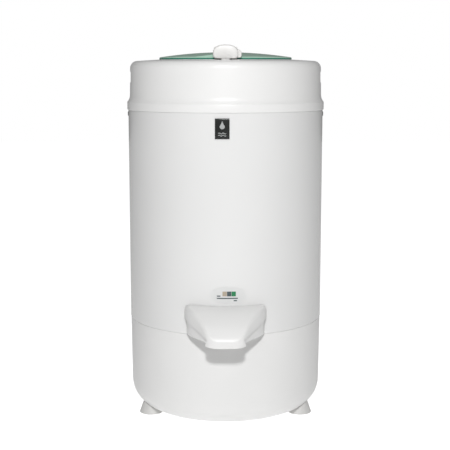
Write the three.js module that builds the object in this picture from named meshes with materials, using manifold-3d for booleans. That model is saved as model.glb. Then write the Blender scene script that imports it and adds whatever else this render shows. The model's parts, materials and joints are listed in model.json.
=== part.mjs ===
// Upright spin dryer: drum, motor and brake inside a round casing, with a drain spout at the front.
// Millimetres, +Z up, the floor at zero, the front towards -Y.
import * as THREE from "three";
import { mergeVertices } from "three/addons/utils/BufferGeometryUtils.js";
import Module from "manifold-3d";

const wasm = await Module();
wasm.setup();

// Gaps between pieces that touch, and between pieces that move
const seatGap = 0.3;
const runningGap = 0.6;

// Casing and base
const casingRadius = 172.5;
const sheet = 1.2;
const baseBottom = 5.5;
const baseWall = 3;
const baseRounding = 46;
const baseSeamStep = 0.6;
const spigotHeight = 12;
const ventRadius = 45;

// Motor, suspension and brake, stacked upwards from the base
const motorRadius = 62;
const motorBottom = 52;
const motorTop = 134;
const plateHeight = 94;
const plateThickness = 3;
const mountCircle = 108;
const mountRadius = 13;
const mountHeight = 24;
const brakeDrumRadius = 60;
const brakeDrumBottom = motorTop + 14;
const brakeDrumHeight = 14;
const leverPivotCircle = 98;
const leverPivotHeight = brakeDrumBottom + brakeDrumHeight + 10;
const seamHeight = leverPivotHeight - 3;
const spigotTop = seamHeight + spigotHeight;

// Top cover
const bandBottom = 540;
const bandHeight = 15;
const bandTop = bandBottom + bandHeight;
const bandThickness = 1.5;
const coverWall = 2.6;
const skirtDepth = 24;
const coverStep = 3.9;
const coverRadius = casingRadius - coverStep;
const coverRise = 72;
const landHeight = bandTop + coverRise;
const landRise = 2.2;
const cornerRadius = 13;
const collarDepth = 40;
const gripHeight = 19;
const gripDepth = 12;
const gripHalfAngle = 11;

// Lid, hinge and latch
const lidRadius = 117;
const lidOverlap = 13;
const mouthRadius = lidRadius - lidOverlap;
const rimThickness = 4.6;
const domeRise = 8.6;
const domeWall = 3;
const hingeOffset = 10;
const hingePinRadius = 2;
const latchReach = lidRadius + 17;
const latchTravel = 30;
const toeHalfAngle = 2.9;
const toeReach = 4.5;
const knobWidth = 45;
const knobTop = landHeight + 23.6;
const rampHeight = 7.5;

// Drum and water catcher
const drumRadius = 118;
const drumSheet = 1.5;
const drumMouthRadius = mouthRadius - 8;
const catcherRadius = drumRadius + 24;
const catcherWall = 2.5;
const catcherTop = landHeight - collarDepth - 10;
const catcherFoot = spigotTop + seatGap;
const catcherFloor = catcherFoot + catcherWall;
const wellRadius = 30;
const wellTop = catcherFloor + 25;
const drumBottom = wellTop + 15.2;
const drumTop = catcherTop - 17;
const shaftRadius = 8;

// Brake linkage
const rodAngle = 22;
const rodCircle = 158;
const rodRadius = 2.5;
const rodLift = 5;
const switchAngle = 12;
const plungerTravel = 2;

// Spout
const spoutProjection = 70;
const spoutWall = 2.4;
const outletHalfWidth = 27;
const outletHeight = 22;

// Feet
const footCircle = casingRadius - 26.5;
const footAngles = { foot_front_left: -66, foot_front_right: 66, foot_rear: 180 };
const footRadius = 21.5;
const footTopRadius = 7;
const footHeight = 40;

// Reach of the cord gland behind the casing, and the shift that centres the machine front to back
const glandReach = 9.5;
const rearReach = casingRadius + glandReach;
const axisShift = (casingRadius + spoutProjection - rearReach) / 2;

const radians = THREE.MathUtils.degToRad;
const roundSteps = 48;

// A point at a distance from the machine's axis, turned from the front towards the right
function around(distance, degrees, height = 0) {
  const angle = radians(degrees);
  return new THREE.Vector3(distance * Math.sin(angle), -distance * Math.cos(angle), height);
}

function toSolid(geometry) {
  geometry.deleteAttribute("normal");
  geometry.deleteAttribute("uv");
  const merged = mergeVertices(geometry, 1e-4);
  return new wasm.Manifold(
    new wasm.Mesh({
      numProp: 3,
      vertProperties: merged.attributes.position.array,
      triVerts: new Uint32Array(merged.index.array),
    }),
  );
}

function toGeometry(solid) {
  const mesh = solid.getMesh();
  const geometry = new THREE.BufferGeometry();
  geometry.setAttribute("position", new THREE.BufferAttribute(new Float32Array(mesh.vertProperties), 3));
  geometry.setIndex(new THREE.BufferAttribute(new Uint32Array(mesh.triVerts), 1));
  return geometry.toNonIndexed();
}

// A closed outline of [radius, height] pairs turned about the machine's axis
function turned(outline, steps = roundSteps) {
  const points = outline.map(([radius, height]) => new THREE.Vector2(radius, height));
  if (THREE.ShapeUtils.area(points) < 0) points.reverse();
  const first = points[0];
  const last = points[points.length - 1];
  if (first.x > 0 || last.x > 0) points.push(first.clone());
  const geometry = new THREE.LatheGeometry(points, steps);
  geometry.rotateX(Math.PI / 2);
  return toSolid(geometry);
}

function cylinder(radius, bottom, top, steps = 24) {
  return turned([[0, bottom], [radius, bottom], [radius, top], [0, top]], steps);
}

function cone(bottomRadius, topRadius, bottom, top, steps = 24) {
  return turned([[0, bottom], [bottomRadius, bottom], [topRadius, top], [0, top]], steps);
}

function ring(inner, outer, bottom, top, steps = roundSteps) {
  return turned([[inner, bottom], [outer, bottom], [outer, top], [inner, top]], steps);
}

function box(width, depth, height) {
  return toSolid(new THREE.BoxGeometry(width, depth, height));
}

// A cylinder that lies along the line from the axis outwards at an angle
function radialRod(radius, from, to, degrees, height, steps = 16) {
  return cylinder(radius, from, to, steps)
    .rotate([90, 0, 0])
    .translate([0, 0, height])
    .rotate([0, 0, degrees]);
}

// Places a solid at a distance and an angle from the machine's axis, facing outwards
function placed(solid, distance, degrees, height = 0) {
  return solid.translate([0, -distance, height]).rotate([0, 0, degrees]);
}

// A closed body through a row of outlines with the same number of corners
function loft(outlines) {
  const count = outlines[0].length;
  const positions = outlines.flat(2);
  const faces = [];
  for (let row = 0; row + 1 < outlines.length; row += 1) {
    for (let corner = 0; corner < count; corner += 1) {
      const next = (corner + 1) % count;
      const a = row * count + corner;
      const b = row * count + next;
      faces.push(a, b, b + count, a, b + count, a + count);
    }
  }
  const lastRow = (outlines.length - 1) * count;
  for (let corner = 1; corner + 1 < count; corner += 1) {
    faces.push(0, corner + 1, corner);
    faces.push(lastRow, lastRow + corner, lastRow + corner + 1);
  }
  const geometry = new THREE.BufferGeometry();
  geometry.setAttribute("position", new THREE.Float32BufferAttribute(positions, 3));
  geometry.setIndex(faces);
  const solid = toSolid(geometry);
  if (solid.volume() > 0) return solid;
  faces.reverse();
  geometry.setIndex(faces);
  return toSolid(geometry);
}

// A block that follows an arc; its faces may change with the angle
function arcBlock({ inner, outer, from, to, bottom, top, steps = 8 }) {
  const at = (value, degrees) => (typeof value === "function" ? value(degrees) : value);
  const outlines = [];
  for (let step = 0; step <= steps; step += 1) {
    const degrees = from + ((to - from) * step) / steps;
    const low = at(bottom, degrees);
    const high = at(top, degrees);
    const near = at(inner, degrees);
    const far = at(outer, degrees);
    outlines.push(
      [[near, low], [near, high], [far, high], [far, low]].map(([distance, height]) =>
        around(distance, degrees, height).toArray(),
      ),
    );
  }
  return loft(outlines);
}

function corner(centreRadius, centreHeight, radius, fromDegrees, toDegrees, steps) {
  const points = [];
  for (let step = 0; step <= steps; step += 1) {
    const angle = radians(fromDegrees + ((toDegrees - fromDegrees) * step) / steps);
    points.push([centreRadius + radius * Math.cos(angle), centreHeight + radius * Math.sin(angle)]);
  }
  return points;
}

const root = new THREE.Group();
root.name = "spin_dryer";
const machine = new THREE.Group();
root.add(machine);
machine.position.y = axisShift;

const finishes = {
  whitePlastic: { color: 0xf0efec, roughness: 0.35, metalness: 0 },
  whitePaint: { color: 0xf2f1ee, roughness: 0.25, metalness: 0 },
  greyPlastic: { color: 0x8d9294, roughness: 0.5, metalness: 0 },
  lidGreen: { color: 0x3f9f86, roughness: 0.2, metalness: 0 },
  black: { color: 0x161817, roughness: 0.4, metalness: 0 },
  label: { color: 0xd8dad8, roughness: 0.4, metalness: 0 },
  steel: { color: 0xb9bcbf, roughness: 0.3, metalness: 1 },
  darkSteel: { color: 0x4c4f52, roughness: 0.45, metalness: 1 },
  aluminium: { color: 0xc6c9cc, roughness: 0.4, metalness: 1 },
  castIron: { color: 0x3c3e40, roughness: 0.6, metalness: 1 },
  rubber: { color: 0x222222, roughness: 0.8, metalness: 0 },
};

function addPart(name, solid, finish) {
  const mesh = new THREE.Mesh(toGeometry(solid), new THREE.MeshStandardMaterial(finishes[finish]));
  mesh.geometry.computeVertexNormals();
  mesh.name = name;
  machine.add(mesh);
}

// Base tub
const baseCentre = casingRadius - 1.9 - baseRounding;
const baseCentreHeight = baseBottom + baseRounding;
const casingInner = casingRadius - sheet;
const spigotRadius = casingInner - seatGap;
const baseSeamRadius = casingRadius - baseSeamStep;
const baseOuterCurve = corner(baseCentre, baseCentreHeight, baseRounding, -90, 0, 6);
const baseInnerCurve = corner(baseCentre, baseCentreHeight, baseRounding - baseWall, 0, -90, 4);
let base = turned([
  [ventRadius, baseBottom],
  ...baseOuterCurve,
  [baseSeamRadius, seamHeight - 1],
  [baseSeamRadius - 0.4, seamHeight - seatGap],
  [spigotRadius, seamHeight - seatGap],
  [spigotRadius, spigotTop],
  [spigotRadius - baseWall, spigotTop],
  ...baseInnerCurve,
  [ventRadius, baseBottom + baseWall],
]);

// Feet, each held by a screw that goes up into a boss of the base
const footScrewRadius = 2.3;
const footScrewHead = 5;
const footRecess = 6;
const bossTop = 58;
const baseEnvelope = turned([
  [0, baseBottom - seatGap],
  ...corner(baseCentre, baseCentreHeight, baseRounding + seatGap, -90, 0, 6),
  [casingRadius, seamHeight],
  [0, seamHeight],
]);
for (const [name, degrees] of Object.entries(footAngles)) {
  const boss = placed(cylinder(9, baseBottom + 1, bossTop, 20), footCircle, degrees);
  const outside = turned([[casingRadius + 40, 0], [casingRadius + 40, bossTop], ...corner(
    baseCentre, baseCentreHeight, baseRounding - 0.5, 0, -90, 6), [baseCentre, 0]]);
  base = base.add(boss.subtract(outside));
  const hole = placed(cylinder(footScrewRadius + seatGap, 0, bossTop - 4, 12), footCircle, degrees);
  base = base.subtract(hole);
  const recess = placed(cylinder(footScrewHead + 1, -1, footRecess, 20), footCircle, degrees);
  const cutFoot = placed(cone(footRadius, footTopRadius, 0, footHeight, 28), footCircle, degrees)
    .subtract(baseEnvelope)
    .subtract(hole)
    .subtract(recess);
  addPart(name, cutFoot, "whitePlastic");
  const head = cylinder(footScrewHead, footRecess - 4 - seatGap, footRecess - seatGap, 16);
  const shank = cylinder(footScrewRadius, footRecess - 1, bossTop - 6, 12);
  addPart(name.replace("foot", "foot_screw"), placed(head.add(shank), footCircle, degrees), "steel");
}

// Posts for the motor's rubber mounts
const postTop = plateHeight - mountHeight - 2 * seatGap;
const mountAngles = [60, 180, 300];
mountAngles.forEach((degrees) => {
  const post = placed(cylinder(mountRadius - 2, baseBottom + 1, postTop, 20), mountCircle, degrees);
  base = base.add(post);
});

// Cord gland at the back of the base
const glandHeight = 92;
const glandRadius = 9;
base = base.subtract(
  radialRod(glandRadius + seatGap, casingRadius - 20, casingRadius + 20, 180, glandHeight, 20));
const glandFace = casingRadius + 0.4;
let gland = radialRod(glandRadius, casingRadius - 9, glandFace + 1, 180, glandHeight, 20);
gland = gland.add(radialRod(glandRadius + 4, glandFace, glandFace + 3, 180, glandHeight, 20));
gland = gland.add(radialRod(glandRadius - 2, glandFace + 2, rearReach, 180, glandHeight, 20));
gland = gland.subtract(radialRod(3.4, casingRadius - 12, rearReach + 1, 180, glandHeight, 12));
addPart("cord_gland", gland, "greyPlastic");
addPart("base_tub", base, "whitePlastic");

// Casing, open behind the spout
const casingTop = bandTop - 3;
const outletBottom = spigotTop + 0.7;
const outletTop = outletBottom + outletHeight;
const outletAt = (margin, from, to) =>
  box(2 * (outletHalfWidth + margin), to - from, outletHeight + 2 * margin).translate([
    0, -(from + to) / 2, (outletBottom + outletTop) / 2]);
let casing = ring(casingInner, casingRadius, seamHeight, casingTop);
casing = casing.subtract(outletAt(seatGap, casingRadius - 20, casingRadius + 20));

// Screws through the casing into the cover's inner skirt
const screwHeight = bandBottom - 8;
const screwAngles = { casing_screw_left: -90, casing_screw_right: 90, casing_screw_rear: 180 };
for (const degrees of Object.values(screwAngles)) {
  casing = casing.subtract(radialRod(2.1, casingRadius - 10, casingRadius + 10, degrees, screwHeight, 12));
}
addPart("casing", casing, "whitePaint");

// Top cover
const bandInner = casingRadius + seatGap;
const bandRadius = bandInner + bandThickness;
const skirtRadius = casingInner - seatGap;
const skirtBottom = bandBottom - skirtDepth;
const landEdge = coverRadius - cornerRadius;
const wallRadius = coverRadius + 0.8;
const cornerHeight = landHeight - landRise - cornerRadius;
const mouthWall = mouthRadius + coverWall;
const landUnder = landHeight - coverWall;
let cover = turned([
  [bandInner, bandBottom],
  [bandRadius, bandBottom],
  [bandRadius, bandTop - 1.6],
  [bandRadius - 1.2, bandTop],
  [coverRadius + 2.6, bandTop + 3],
  [coverRadius + 1.2, bandTop + 7.5],
  [wallRadius, bandTop + 13],
  ...corner(landEdge, cornerHeight, cornerRadius, 0, 84, 5),
  [lidRadius + 2, landHeight],
  [lidRadius - 0.4, landHeight - 0.4],
  [lidRadius - 2.4, landHeight - 1.4],
  [mouthRadius + 1, landHeight - 1.4],
  [mouthRadius, landHeight - 2.4],
  [mouthRadius, landHeight - collarDepth],
  [mouthWall, landHeight - collarDepth],
  [mouthWall, landUnder - 1.4],
  [lidRadius, landUnder - 1],
  ...corner(landEdge, cornerHeight, cornerRadius - coverWall, 84, 0, 3),
  [wallRadius - coverWall, bandTop + 13],
  [skirtRadius - coverWall, bandTop],
  [skirtRadius - coverWall, skirtBottom],
  [skirtRadius, skirtBottom],
  [skirtRadius, casingTop + seatGap],
  [bandInner, casingTop + seatGap],
]);
const gripBottom = bandTop + 32;
for (const side of [-90, 90]) {
  const pocket = arcBlock({
    inner: coverRadius - gripDepth - coverWall,
    outer: coverRadius - 1.2,
    from: side - gripHalfAngle - 1,
    to: side + gripHalfAngle + 1,
    bottom: gripBottom - coverWall,
    top: gripBottom + gripHeight + coverWall,
    steps: 4,
  });
  const hollow = arcBlock({
    inner: coverRadius - gripDepth,
    outer: coverRadius + 8,
    from: side - gripHalfAngle,
    to: side + gripHalfAngle,
    bottom: gripBottom,
    top: gripBottom + gripHeight,
    steps: 4,
  });
  cover = cover.add(pocket).subtract(hollow);
}
for (const degrees of Object.values(screwAngles)) {
  cover = cover.subtract(radialRod(1.9, skirtRadius - 10, skirtRadius + 10, degrees, screwHeight, 12));
}

// Slot for the latch's stem, with a wider notch at the front where its toe lifts out
const stemOuter = latchReach;
const stemInner = latchReach - 6;
const toeOuter = stemOuter + toeReach;
cover = cover.subtract(arcBlock({
  inner: stemInner - 1,
  outer: stemOuter + 1,
  from: -latchTravel - toeHalfAngle - 1,
  to: toeHalfAngle + 1,
  bottom: landHeight - 12,
  top: landHeight + 4,
  steps: 6,
}));
cover = cover.subtract(arcBlock({
  inner: stemInner - 1,
  outer: toeOuter + 3,
  from: -toeHalfAngle - 1.6,
  to: toeHalfAngle + 1.6,
  bottom: landHeight - 12,
  top: landHeight + 4,
  steps: 2,
}));

// Hinge knuckles of the cover at the back, with the pin through them
const hingeY = lidRadius + hingeOffset;
const hingeHeight = landHeight + 7;
const knuckleRadius = 4.6;
const knuckleInner = 10.5;
const knuckleOuter = 21;
const alongX = (radius, from, to, steps = 20) =>
  cylinder(radius, from, to, steps).rotate([0, 90, 0]).translate([0, hingeY, hingeHeight]);
const pinBore = alongX(hingePinRadius + 0.1, -knuckleOuter - 2, knuckleOuter + 2, 16);
for (const side of [-1, 1]) {
  const ends = [side * knuckleInner, side * knuckleOuter].sort((a, b) => a - b);
  const middle = (side * (knuckleInner + knuckleOuter)) / 2;
  const post = box(knuckleOuter - knuckleInner, 2 * knuckleRadius, hingeHeight - landHeight + 1.5).translate([
    middle, hingeY, (hingeHeight + landHeight - 1.5) / 2]);
  cover = cover.add(alongX(knuckleRadius, ends[0], ends[1]).add(post).subtract(pinBore));
}
addPart("top_cover", cover, "whitePlastic");
addPart("hinge_pin", alongX(hingePinRadius, -knuckleOuter - 0.5, knuckleOuter + 0.5, 16), "steel");

for (const [name, degrees] of Object.entries(screwAngles)) {
  const head = radialRod(4, casingRadius + seatGap, casingRadius + 1.5, degrees, screwHeight, 16);
  const shank = radialRod(1.6, skirtRadius - 6, casingRadius + 1, degrees, screwHeight, 10);
  addPart(name, head.add(shank), "darkSteel");
}

// Lid: a domed disc with a locating ring, a wedge near the front of its rim and a hinge ear at the back
const rimBottom = landHeight - 0.2;
const rimTop = rimBottom + rimThickness;
const domeTop = rimTop + domeRise;
const dome = (radius, drop) => domeTop - drop - domeRise * Math.pow(radius / domeEdge, 2);
const domeEdge = lidRadius - 3;
const domeShares = [0, 0.22, 0.44, 0.66, 0.86, 1];
const locatingRadius = mouthRadius - 1.2;
let lid = turned([
  ...domeShares.map((share) => [share * domeEdge, dome(share * domeEdge, 0)]),
  [lidRadius - 0.8, rimTop - 0.6],
  [lidRadius, rimTop - 1.8],
  [lidRadius, rimBottom + seatGap + 0.6],
  [lidRadius - 0.7, rimBottom + seatGap],
  [locatingRadius, rimBottom + seatGap],
  [locatingRadius, landHeight - 11],
  [locatingRadius - 2, landHeight - 11],
  [locatingRadius - 2, rimBottom + 1.8],
  ...domeShares.slice(0, 4).reverse().map((share) => [share * domeEdge, dome(share * domeEdge, domeWall)]),
]);
const rampFrom = -32;
const rampTo = 10.5;
lid = lid.add(arcBlock({
  inner: lidRadius - 12,
  outer: lidRadius - 1.5,
  from: rampFrom,
  to: rampTo,
  bottom: rimTop - 2.2,
  top: (degrees) => rimTop - 1 + ((rampHeight + 1) * (degrees - rampFrom)) / (rampTo - rampFrom),
  steps: 8,
}));
const earHalfWidth = knuckleInner - runningGap;
const ear = box(2 * earHalfWidth, hingeY - lidRadius + 6, 4).translate([
  0, (hingeY + lidRadius - 6) / 2, rimTop - 0.4]);
lid = lid.add(ear).add(alongX(knuckleRadius, -earHalfWidth, earHalfWidth));
lid = lid.subtract(alongX(hingePinRadius + 0.1, -earHalfWidth - 1, earHalfWidth + 1, 16));
const pivotRadius = 5;
const pivotPost = cylinder(11, domeTop - 2, domeTop + 1.4, 24);
const latchBase = domeTop + 1.4 + seatGap;
lid = lid.add(pivotPost).subtract(cylinder(pivotRadius - 0.6, domeTop - 8, domeTop + 4, 16));
addPart("lid", lid, "lidGreen");

// Latch arm: turns about the middle of the lid, and its toe swings under the cover
const armThickness = 4;
const armHalfWidth = 8;
const kneeHeight = rimTop + rampHeight + seatGap + 0.2;
const knobInner = lidRadius - 15;
const knobOuter = latchReach + 1;
const knobBottom = landHeight + 0.7;
const faceDepth = 9;
const knobFaceFrom = knobOuter - faceDepth;
const armHub = 12;
let arm = cylinder(armHub, latchBase, latchBase + armThickness, 28);
const armSection = (distance, bottom) => [
  [-armHalfWidth, -distance, bottom], [-armHalfWidth, -distance, bottom + armThickness],
  [armHalfWidth, -distance, bottom + armThickness], [armHalfWidth, -distance, bottom],
];
arm = arm.add(loft([
  armSection(0, latchBase), armSection(armHub, latchBase), armSection(knobInner + 4, kneeHeight),
]));
// Outline of the knob seen from the front: flat below, arched on top
function knobOutline(halfWidth, low, high, distance) {
  const points = [[-halfWidth + 2, low], [halfWidth - 2, low]];
  const middle = low + (high - low) * 0.4;
  for (let step = 0; step <= 10; step += 1) {
    const angle = radians(18 * step);
    const across = Math.sign(Math.cos(angle)) * Math.pow(Math.abs(Math.cos(angle)), 0.8);
    points.push([across * halfWidth, middle + (high - middle) * Math.sin(angle)]);
  }
  return points.map(([across, height]) => [across, -distance, height]).reverse();
}
const knobHalf = knobWidth / 2;
arm = arm.add(loft([
  knobOutline(knobHalf - 3, kneeHeight, knobTop - 3, knobInner),
  knobOutline(knobHalf, kneeHeight, knobTop - 1.2, knobInner + 5),
  knobOutline(knobHalf, kneeHeight, knobTop - 1.2, knobFaceFrom - seatGap),
]));
const skirtInner = lidRadius + 1;
arm = arm.add(box(knobWidth - 8, knobFaceFrom - seatGap - skirtInner, kneeHeight - knobBottom + 4).translate([
  0, -(knobFaceFrom - seatGap + skirtInner) / 2, (kneeHeight + knobBottom + 4) / 2]));
const toeTop = landUnder - 4.2;
const toeBottom = toeTop - 4;
const tongueHeight = 2;
arm = arm.add(box(17, stemOuter - skirtInner, tongueHeight).translate([
  0, -(stemOuter + skirtInner) / 2, knobBottom + tongueHeight / 2]));
const stemArc = { from: -toeHalfAngle, to: toeHalfAngle, steps: 2 };
arm = arm.add(arcBlock({ ...stemArc, inner: stemInner, outer: stemOuter, bottom: toeBottom, top: knobBottom + 1 }));
arm = arm.add(arcBlock({ ...stemArc, inner: stemInner, outer: toeOuter, bottom: toeBottom, top: toeTop }));
arm = arm.subtract(cylinder(pivotRadius, latchBase - 4, latchBase + 30, 20));
addPart("latch_arm", arm, "whitePlastic");

const faceBottom = knobBottom + tongueHeight + seatGap;
const face = loft([
  knobOutline(knobHalf - 2.5, faceBottom, knobTop, knobFaceFrom),
  knobOutline(knobHalf - 2.5, faceBottom, knobTop, knobOuter - 3),
  knobOutline(knobHalf - 5.5, faceBottom + 2, knobTop - 2.5, knobOuter),
]);
addPart("latch_knob", face, "whitePlastic");
const pivotTop = latchBase + armThickness + seatGap;
addPart("latch_pivot", cylinder(pivotRadius - 1, domeTop - 2, pivotTop + 1, 16)
  .add(cylinder(8, pivotTop, pivotTop + 2.4, 24)), "greyPlastic");

// Water catcher: a tub round the drum, with an outlet through the casing into the spout
const catcherOuter = catcherRadius + catcherWall;
const catcher = turned([
  [wellRadius, catcherFoot],
  [casingInner - runningGap, catcherFoot],
  [casingInner - runningGap, catcherFloor],
  [catcherOuter, catcherFloor],
  [catcherOuter, catcherTop],
  [catcherRadius, catcherTop],
  [catcherRadius, catcherFloor],
  [wellRadius + catcherWall, catcherFloor],
  [wellRadius + catcherWall, wellTop],
  [wellRadius, wellTop],
]);
const duct = box(2 * outletHalfWidth, casingRadius + 4 - catcherRadius + 8, outletHeight).translate([
  0, -(casingRadius + 4 + catcherRadius - 8) / 2, (outletBottom + outletTop) / 2]);
const holeFrom = catcherRadius - 4.5;
const holeTo = casingRadius + 25;
const ductHole = box(
  2 * (outletHalfWidth - catcherWall), holeTo - holeFrom, outletTop - catcherWall - catcherFloor,
).translate([0, -(holeFrom + holeTo) / 2, (outletTop - catcherWall + catcherFloor) / 2]);
const ductTrim = ring(catcherRadius - 30, catcherRadius + 0.5, catcherFloor, catcherTop);
const rodHole = placed(cylinder(rodRadius + 1, catcherFoot - 5, catcherFloor + 5, 12), rodCircle, rodAngle);
const ducted = catcher.add(duct.subtract(ductTrim)).subtract(ductHole);
addPart("water_catcher", ducted.subtract(rodHole), "greyPlastic");

// Splash ring on the catcher, with the track that carries the latch slider
const splashBottom = catcherTop + seatGap;
const splashTop = splashBottom + 3;
const slideBottom = toeBottom - 8;
const slideTop = slideBottom + 3;
const trackTop = slideBottom - seatGap;
const trackInner = latchReach - 12;
const trackArc = { from: -latchTravel - 12, to: 62, steps: 12 };
const switchTab = { from: switchAngle - 6, to: switchAngle + 6, steps: 2 };
const splash = ring(mouthRadius - 3, catcherOuter, splashBottom, splashTop)
  .add(arcBlock({ ...trackArc, inner: stemInner, outer: stemInner + 4, bottom: splashTop - 1, top: trackTop - 1 }))
  .add(arcBlock({ ...trackArc, inner: trackInner, outer: latchReach + 10, bottom: trackTop - 3, top: trackTop }))
  .add(arcBlock({ ...switchTab, inner: latchReach + 6, outer: latchReach + 30, bottom: trackTop - 3, top: trackTop }));
addPart("splash_ring", splash, "greyPlastic");
const sealTop = landHeight - collarDepth - seatGap;
addPart("mouth_seal", ring(mouthRadius, mouthWall, splashTop + seatGap, sealTop), "rubber");

// Latch slider: pushed by the latch's toe. Its sloping top lifts the brake rod, and its outer edge
// works the switch
const wedgeFrom = rodAngle - 3;
const wedgeTo = rodAngle + latchTravel + 4;
const wedgeSlope = rodLift / latchTravel;
const camSlope = plungerTravel / latchTravel;
const slideInner = trackInner + 2;
const camRadius = (degrees) => latchReach + 6 + camSlope * (degrees - switchAngle + 8);
const slideAll = { from: -toeHalfAngle - 5, to: wedgeTo, steps: 12 };
let slider = arcBlock({
  ...slideAll, inner: slideInner, outer: camRadius, bottom: slideBottom, top: slideTop });
for (const side of [-1, 1]) {
  const edges = [side * (toeHalfAngle + 0.4), side * (toeHalfAngle + 4)].sort((a, b) => a - b);
  slider = slider.add(arcBlock({
    inner: stemInner,
    outer: toeOuter,
    from: edges[0],
    to: edges[1],
    bottom: slideTop - 1,
    top: toeTop - 1,
    steps: 2,
  }));
}
slider = slider.add(arcBlock({
  inner: slideInner + 2,
  outer: stemOuter + 4,
  from: wedgeFrom,
  to: wedgeTo,
  bottom: slideTop - 1,
  top: (degrees) => slideTop + wedgeSlope * (degrees - wedgeFrom),
}));
addPart("latch_slider", slider, "greyPlastic");

// Brake rod: hangs on the slider's slope and lifts the brake lever with its foot
const hookHalf = 4;
const hookAngle = THREE.MathUtils.radToDeg(hookHalf / (slideInner + 2));
const hookBottom = slideTop + wedgeSlope * (3 + hookAngle) + seatGap;
const hookBack = 3;
const hookLength = rodCircle + hookBack - (stemOuter - 5);
const leverBottom = leverPivotHeight - 3;
const rodFootTop = leverBottom - seatGap;
const rod = cylinder(rodRadius, rodFootTop - 3.5, hookBottom + 2, 12)
  .add(box(2 * hookHalf, hookLength, 2.5).translate([0, hookLength / 2 - hookBack, hookBottom + 1.25]))
  .add(box(6, 11, 3.5).translate([0, 4, rodFootTop - 1.75]));
addPart("brake_rod", placed(rod, rodCircle, rodAngle), "steel");

// Brake lever with its shoe, on a bracket that stands on the motor plate
const leverEnd = rodCircle - rodRadius - 1.5;
const legOuter = brakeDrumRadius + 12;
const legInner = brakeDrumRadius + 6;
const bar = (from, to, low, high, width) =>
  box(width, to - from, high - low).translate([0, -(from + to) / 2, (low + high) / 2]);
const across = (radius, halfLength, steps = 16) =>
  cylinder(radius, -halfLength, halfLength, steps).rotate([0, 90, 0]).translate([
    0, -leverPivotCircle, leverPivotHeight]);
const atLever = (solid) => solid.rotate([0, 0, rodAngle]);
const lever = bar(legInner, leverEnd, leverBottom, leverBottom + 6, 6)
  .add(bar(legInner, legOuter, brakeDrumBottom + 1, leverBottom + 6, 6))
  .add(across(6.5, 3, 20))
  .subtract(across(2.6, 4));
addPart("brake_lever", atLever(lever), "steel");
addPart("brake_shoe", arcBlock({
  inner: brakeDrumRadius + seatGap,
  outer: (degrees) => (legInner - seatGap) / Math.cos(radians(degrees - rodAngle)),
  from: rodAngle - 9,
  to: rodAngle + 9,
  bottom: brakeDrumBottom + 1,
  top: brakeDrumBottom + brakeDrumHeight - 1,
}), "rubber");
const plateTop = plateHeight + plateThickness;
const bracketBottom = plateTop + seatGap;
const cheek = (side) =>
  bar(leverPivotCircle - 8, leverPivotCircle + 8, bracketBottom, leverPivotHeight + 6, 2.5).translate([
    side * (3 + runningGap + 1.25), 0, 0]);
const bracket = cheek(-1).add(cheek(1))
  .add(bar(leverPivotCircle - 8, leverPivotCircle + 8, bracketBottom, bracketBottom + 3, 20))
  .subtract(across(2.6, 12));
addPart("brake_bracket", atLever(bracket), "steel");
addPart("brake_pin", atLever(across(2.5, 8)), "steel");

// Lid switch on its tab, with the plunger that the slider's edge pushes outwards
const plungerRadius = 1.8;
const plungerInner = camRadius(switchAngle) + 2 * seatGap;
const switchInner = latchReach + 12;
const switchDepth = 14;
const switchHeight = 9;
const plungerHeight = slideBottom + 1.8;
const plungerHole = radialRod(
  plungerRadius + seatGap, switchInner - 2, switchInner + 9, switchAngle, plungerHeight, 12);
const switchBody = placed(
  box(20, switchDepth, switchHeight),
  switchInner + switchDepth / 2,
  switchAngle,
  trackTop + seatGap + switchHeight / 2,
).subtract(plungerHole);
addPart("lid_switch", switchBody, "black");
addPart("switch_plunger",
  radialRod(plungerRadius, plungerInner, switchInner + 5, switchAngle, plungerHeight, 12), "whitePlastic");

// Drum, hub, shaft and nut
const drumFloor = drumBottom + drumSheet;
let drum = turned([
  [shaftRadius + seatGap, drumBottom],
  [drumRadius - 8, drumBottom],
  [drumRadius, drumBottom + 8],
  [drumRadius, drumTop - 14],
  [drumRadius - 6, drumTop - 4],
  [drumMouthRadius, drumTop],
  [drumMouthRadius, drumTop - drumSheet],
  [drumRadius - 6.6, drumTop - 5.4],
  [drumRadius - drumSheet, drumTop - 14.5],
  [drumRadius - drumSheet, drumBottom + 8.6],
  [drumRadius - 8.6, drumFloor],
  [shaftRadius + seatGap, drumFloor],
]);
const holeColumns = 12;
const holeRows = 4;
for (let column = 0; column < holeColumns; column += 1) {
  for (let row = 0; row < holeRows; row += 1) {
    const height = drumBottom + 40 + (row * (drumTop - drumBottom - 90)) / (holeRows - 1);
    const degrees = ((column + (row % 2) / 2) * 360) / holeColumns + 3;
    drum = drum.subtract(radialRod(3.2, drumRadius - 6, drumRadius + 4, degrees, height, 6));
  }
}
addPart("spin_drum", drum, "steel");
const hubBottom = wellTop + 3;
addPart("drum_hub", ring(shaftRadius + seatGap, 34, hubBottom, drumBottom - seatGap, 24), "aluminium");
const nut = cylinder(15, drumFloor + seatGap, drumFloor + 11, 6)
  .subtract(cylinder(shaftRadius + seatGap, drumFloor - 2, drumFloor + 20, 24));
addPart("drum_nut", nut, "steel");
const shaftBottom = 30;
addPart("drum_shaft", cylinder(shaftRadius, shaftBottom, drumFloor + 14, 24), "steel");
addPart("shaft_seal", turned([
  [wellRadius - seatGap, catcherFoot + 2],
  [wellRadius - seatGap, wellTop - 6],
  [wellRadius - 3, wellTop - 6],
  [wellRadius - 3, wellTop - 14],
  [shaftRadius + runningGap, wellTop - 10],
  [shaftRadius + runningGap, wellTop - 13],
  [wellRadius - 6, wellTop - 18],
  [wellRadius - 3, catcherFoot + 2],
], 24), "rubber");
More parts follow.
